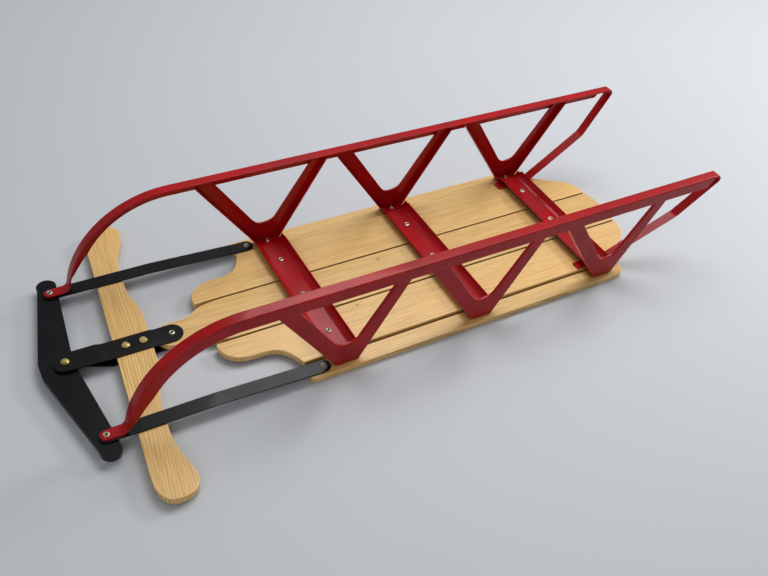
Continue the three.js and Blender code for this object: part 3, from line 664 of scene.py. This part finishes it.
class SLED_OT_runners(bpy.types.Operator):
    """Runners of springy angle steel, each one bent bar from its tab to its tail foot"""

    bl_idname = "sled.runners"
    bl_label = "Runners"

    def execute(self, context):
        steel = context.scene.sled_steel
        for label, side in SIDES.items():
            self.runner(label, side, steel)
        return {"FINISHED"}

    def path(self, label, side, steel):
        """Tab, foot bend, front curve, running straight, hairpin, kinked strap and tail foot."""
        nose_low, nose_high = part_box("runner_nose_" + label)
        rear_low, rear_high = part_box("runner_" + label)
        corner = centre_of("corner_rivet_" + label)
        bench = centre_of("bench_rear")
        top = nose_high.z
        tab_top = nose_low.z + steel.steel
        edge_x = nose_high.x if side > 0 else nose_low.x
        curve_y = corner.y + steel.tab_reach + steel.curve
        span = steel.curve + steel.foot_bend
        lean = math.asin((tab_top + steel.foot_bend - top + steel.curve) / span)
        bend_y = curve_y - span * math.cos(lean)
        turn = math.pi / 2 - lean
        path = Path(nose_low.y, tab_top, edge_x, -side)
        tip = steel.flange / 2
        for share in (0.02, 0.05, 0.09, 0.14, 0.2, 0.5):  # closer stations at the round end
            path.straight(share * tip)
        path.straight(bend_y - path.y)
        path.bend(steel.foot_bend, turn, 10)
        self.curve_stations = len(path.places), len(path.places) + CURVE_STEPS
        path.bend(steel.curve, -turn, CURVE_STEPS)
        tail_y = rear_high.y - steel.hairpin
        split = rear_low.y
        path.straight(split + 0.06 - path.y, 10)
        self.web_end = tail_y - 8 * MM
        path.straight(self.web_end - WEB_FADE - path.y)
        path.straight(self.web_end - path.y, 4)
        path.straight(tail_y - path.y)
        # the strap leaves the hairpin on the tangent towards the kink
        away = Vector((steel.kink_before, steel.kink_below - steel.hairpin))
        reach = math.sqrt(away.length_squared - steel.hairpin**2)
        heading = math.atan2(away.y, away.x) + math.pi
        around = heading - math.asin(steel.hairpin / away.length)
        path.bend(steel.hairpin, -(math.tau - around), 18)
        foot_y = bench.y + steel.foot_behind
        kink = Vector((tail_y - steel.kink_before, top - steel.kink_below))
        slope = math.atan2(kink.y - rear_low.z, kink.x - foot_y)
        first = (path.heading + math.pi) % math.tau - slope
        kink_radius, foot_radius = 22 * MM, 10 * MM
        kink_trim = kink_radius * math.tan(abs(first) / 2)
        foot_trim = foot_radius * math.tan(slope / 2)
        path.straight(reach - kink_trim)
        path.bend(kink_radius, -abs(first), 6)
        path.straight((kink - Vector((foot_y, rear_low.z))).length - kink_trim - foot_trim, 4)
        path.bend(foot_radius, -slope, 5)
        path.straight(path.y - min(point.y for point in foot_points(label)))
        return path, top

    def runner(self, label, side, steel):
        """Sweeps the angle section from station to station."""
        path, top = self.path(label, side, steel)
        bm = bmesh.new()
        across = bm.verts.layers.float.new("across")
        depth = bm.verts.layers.float.new("depth")
        wide, thick, web = steel.flange, steel.steel, steel.web
        outline = ((0, 0), (wide, 0), (wide, thick), (thick, thick), (thick, web), (0, web))
        toe, root = 1.1 * MM, 1.6 * MM
        rounding = (steel.corner, toe, toe, root, toe, toe)
        polygon(bm, [(x, 0, -d) for x, d in outline])
        bm.verts.ensure_lookup_table()
        for vert, radius in zip(bm.verts[:], rounding):
            bmesh.ops.bevel(
                bm,
                geom=[vert],
                offset=radius,
                segments=4,
                profile=0.5,
                affect="VERTICES",
                material=-1,
            )
        for vert in bm.verts:
            vert[across], vert[depth] = vert.co.x, -vert.co.z
        foot_xs = [point.x for point in foot_points(label)]
        foot_x = (min(foot_xs) + max(foot_xs)) / 2
        lean = abs(path.edge_x - foot_x) - wide / 2
        high, low = top - 2 * steel.hairpin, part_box("runner_" + label)[0].z + thick
        stations, shares = [], []
        first, last = self.curve_stations
        past = self.web_end + 1 * MM
        tail = next(i for i, place in enumerate(path.places) if place[0] > past)
        for i, place in enumerate(path.places):
            fall = (high - place[1]) / (high - low) if i > tail else 0.0
            from_tip = place[0] - path.places[0][0]
            reach = min(from_tip / (wide / 2), 1.0)
            narrow = max(math.sqrt(1 - (1 - reach) ** 2), 0.12) if i < first else 1.0
            stations.append(path.station(place, lean * min(max(fall, 0), 1), narrow, wide / 2))
            shares.append(self.web_share(i, place, first, last, tail))
        ring = bm.edges[:]
        bmesh.ops.transform(bm, matrix=stations[0], verts=bm.verts)
        self.set_web(bm.verts[:], stations[0], shares[0] - 1, depth, thick)
        for (here, there), (before, after) in zip(pairwise(stations), pairwise(shares)):
            made = bmesh.ops.extrude_edge_only(bm, edges=ring)["geom"]
            verts = [item for item in made if isinstance(item, bmesh.types.BMVert)]
            ring = [item for item in made if isinstance(item, bmesh.types.BMEdge)]
            bmesh.ops.transform(bm, matrix=there @ here.inverted(), verts=verts)
            self.set_web(verts, there, after - before, depth, thick)
        bmesh.ops.edgeloop_fill(bm, edges=ring)
        bmesh.ops.recalc_face_normals(bm, faces=bm.faces)
        mark = bm.loops.layers.float.new("edge")
        for face in bm.faces:
            xs = [vert[across] for vert in face.verts]
            ds = [vert[depth] for vert in face.verts]
            if max(xs) - min(xs) < 1.2 * MM and max(ds) - min(ds) < 1.2 * MM:
                for loop in face.loops:
                    loop[mark] = 1.0
        nodes = ["runner_nose_" + label, "runner_" + label]
        name, look = "runner_{}_steel".format(label), material("red enamel")
        piece = new_piece(name, bm, look, None, nodes)
        drill(piece, centre_of("corner_rivet_" + label), TAB_HOLE)
        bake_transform(piece)

    def web_share(self, i, place, first, last, tail):
        """How much of the web's depth is left: all of it, but for both ends."""
        if i < first:
            return NO_WEB
        if i < last:
            fade = (i - first) / (last - first)
            return 0.3 + 0.7 * min(1.0, fade / 0.22) ** 0.7
        if i > tail:
            return NO_WEB
        left = (self.web_end - place[0]) / WEB_FADE
        return min(max(left, NO_WEB), 1.0)

    def set_web(self, verts, station, change, depth, thick):
        """Deepens the web, by a share of its depth, where it hangs below the flange."""
        out = station.to_3x3().col[2].normalized()
        for vert in verts:
            if vert[depth] > thick:
                vert.co -= out * (vert[depth] - thick) * change


class SLED_OT_linkage(bpy.types.Operator):
    """Bumper, struts and lever straps"""

    bl_idname = "sled.linkage"
    bl_label = "Steering linkage"

    def execute(self, context):
        radius = context.scene.sled_steel.plate_round
        for node in ("bumper_plate", "strut_left", "strut_right", "strap_upper", "strap_lower"):
            bm = merged_copy(node)
            round_edges(bm, radius, 3)
            look = material("black enamel")
            new_piece(node + "_steel", bm, look, body_of(node), [node])
        return {"FINISHED"}


class SLED_OT_fasteners(bpy.types.Operator):
    """Hollow rivets with rolled rims, and low bolts with a shallow sink"""

    bl_idname = "sled.fasteners"
    bl_label = "Fasteners"

    def execute(self, context):
        for node in sorted(frame["nodes"]):
            if "rivet" in node or "bolt" in node:
                bolt = "bolt" in node
                look = material("yellow bolts" if bolt else "plated rivets")
                bm = merged_copy(node)
                self.dish(bm, *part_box(node), bolt)
                new_piece(node + "_metal", bm, look, body_of(node), [node])
        return {"FINISHED"}

    def dish(self, bm, low, high, bolt):
        """Sinks the middle of the head, and rounds the rim that is left."""
        top = high.z
        near_top = [face for face in bm.faces if face.calc_center_median().z > top - 0.3 * MM]
        level = [face for face in near_top if face.normal.z > 0.99]
        if not level:
            return
        head = max(level, key=lambda face: face.calc_area())
        rim, depth = (0.42, -0.5 * MM) if bolt else (0.34, -1.6 * MM)
        reach = (high.x - low.x) / 2
        bmesh.ops.inset_region(bm, faces=[head], thickness=reach * rim, use_even_offset=True)
        inner = bmesh.ops.extrude_face_region(bm, geom=[head])["geom"]
        bmesh.ops.delete(bm, geom=[head], context="FACES_ONLY")
        floor = [item for item in inner if isinstance(item, bmesh.types.BMFace)]
        verts = {vert for face in floor for vert in face.verts}
        centre = sum((vert.co for vert in verts), Vector()) / len(verts)
        verts = list(verts)
        bmesh.ops.translate(bm, verts=verts, vec=(0, 0, depth))
        narrow = Matrix.Diagonal((0.8, 0.8, 1, 1))
        bmesh.ops.transform(bm, matrix=narrow, space=Matrix.Translation(-centre), verts=verts)
        lip = [edge for edge in bm.edges if edge.calc_face_angle(0) > math.radians(25)]
        lip = [edge for edge in lip if min(vert.co.z for vert in edge.verts) > top - 0.2 * MM]
        bmesh.ops.bevel(
            bm,
            geom=lip,
            offset=0.35 * MM,
            segments=3,
            profile=0.5,
            affect="EDGES",
            clamp_overlap=True,
            material=-1,
        )


class SLED_OT_stage(bpy.types.Operator):
    """Floor, lamps, camera and view"""

    bl_idname = "sled.stage"
    bl_label = "Stage"

    def execute(self, context):
        settings = context.scene.sled_stage
        self.floor(settings)
        self.lamps()
        self.camera(context, settings)
        context.scene.view_settings.view_transform = "Standard"
        return {"FINISHED"}

    def floor(self, settings):
        bm = bmesh.new()
        bmesh.ops.create_grid(bm, x_segments=1, y_segments=1, size=30)
        mesh = bpy.data.meshes.new("floor")
        bm.to_mesh(mesh)
        bm.free()
        graph = Graph("floor")
        soft = graph.noise(graph.place(), 3.0, 4.0)
        pale = [channel * 1.04 for channel in settings.floor]
        graph.set(Base_Color=graph.mix(soft, settings.floor, pale), Roughness=0.6)
        mesh.materials.append(graph.material)
        floor = bpy.data.objects.new("floor", mesh)
        bpy.context.scene.collection.objects.link(floor)

    def lamps(self):
        centre = Vector((0, 0, 0.1))
        # name, place, width, height, watts
        plan = (
            ("overhead lamp", (-0.8, 0.9, 2.4), 2.0, 1.4, 44),
            ("rear lamp", (-0.3, 2.6, 1.5), 0.7, 0.5, 30),
            ("front lamp", (1.6, -1.9, 1.9), 1.8, 1.4, 10),
        )
        for name, place, width, height, watts in plan:
            lamp = bpy.data.lights.new(name, "AREA")
            lamp.shape = "RECTANGLE"
            lamp.size = width
            lamp.size_y = height
            lamp.energy = watts
            holder = bpy.data.objects.new(name, lamp)
            holder.location = place
            holder.rotation_euler = (centre - Vector(place)).to_track_quat("-Z", "Y").to_euler()
            bpy.context.scene.collection.objects.link(holder)
        world = bpy.data.worlds.new("soft room")
        world.use_nodes = True
        world.node_tree.nodes["Background"].inputs["Color"].default_value = (0.80, 0.82, 0.86, 1)
        world.node_tree.nodes["Background"].inputs["Strength"].default_value = 0.38
        bpy.context.scene.world = world

    def camera(self, context, settings):
        place = Vector(settings.camera_place)
        ahead = (Vector(settings.camera_aim) - place).normalized()
        right = ahead.cross(Vector((0, 0, 1))).normalized()
        up = right.cross(ahead)
        turn = Matrix.Rotation(-settings.camera_roll, 3, ahead)
        right, up = turn @ right, turn @ up
        matrix = Matrix((right, up, -ahead)).transposed().to_4x4()
        matrix.translation = place
        data = bpy.data.cameras.new("camera")
        data.sensor_width = 36
        data.lens = settings.lens
        camera = bpy.data.objects.new("camera", data)
        camera.matrix_world = matrix
        context.scene.collection.objects.link(camera)
        context.scene.camera = camera


OPERATORS = (
    SLED_OT_stage,
    SLED_OT_deck,
    SLED_OT_bar,
    SLED_OT_benches,
    SLED_OT_knees,
    SLED_OT_runners,
    SLED_OT_linkage,
    SLED_OT_fasteners,
)


class SLED_PT_panel(bpy.types.Panel):
    """Lists the sled's operators and settings"""

    bl_idname = "SLED_PT_panel"
    bl_label = "Sled"
    bl_space_type = "VIEW_3D"
    bl_region_type = "UI"
    bl_category = "Sled"

    def draw(self, context):
        column = self.layout.column()
        for operator in OPERATORS:
            column.operator(operator.bl_idname)
        for holder in SETTINGS:
            group = getattr(context.scene, holder)
            for name in group.bl_rna.properties.keys():
                if name not in ("rna_type", "name"):
                    column.prop(group, name)


SETTINGS = {
    "sled_wood": SledWoodSettings,
    "sled_steel": SledSteelSettings,
    "sled_fasteners": SledFastenerSettings,
    "sled_stage": SledStageSettings,
}


def register():
    for holder, group in SETTINGS.items():
        bpy.utils.register_class(group)
        setattr(bpy.types.Scene, holder, PointerProperty(type=group))
    for operator in OPERATORS:
        bpy.utils.register_class(operator)
    bpy.utils.register_class(SLED_PT_panel)


def unregister():
    bpy.utils.unregister_class(SLED_PT_panel)
    for operator in reversed(OPERATORS):
        bpy.utils.unregister_class(operator)
    for holder, group in SETTINGS.items():
        delattr(bpy.types.Scene, holder)
        bpy.utils.unregister_class(group)


def main():
    register()
    for operator in OPERATORS:
        getattr(bpy.ops.sled, operator.bl_idname.split(".")[1])()


if __name__ == "__main__":
    main()
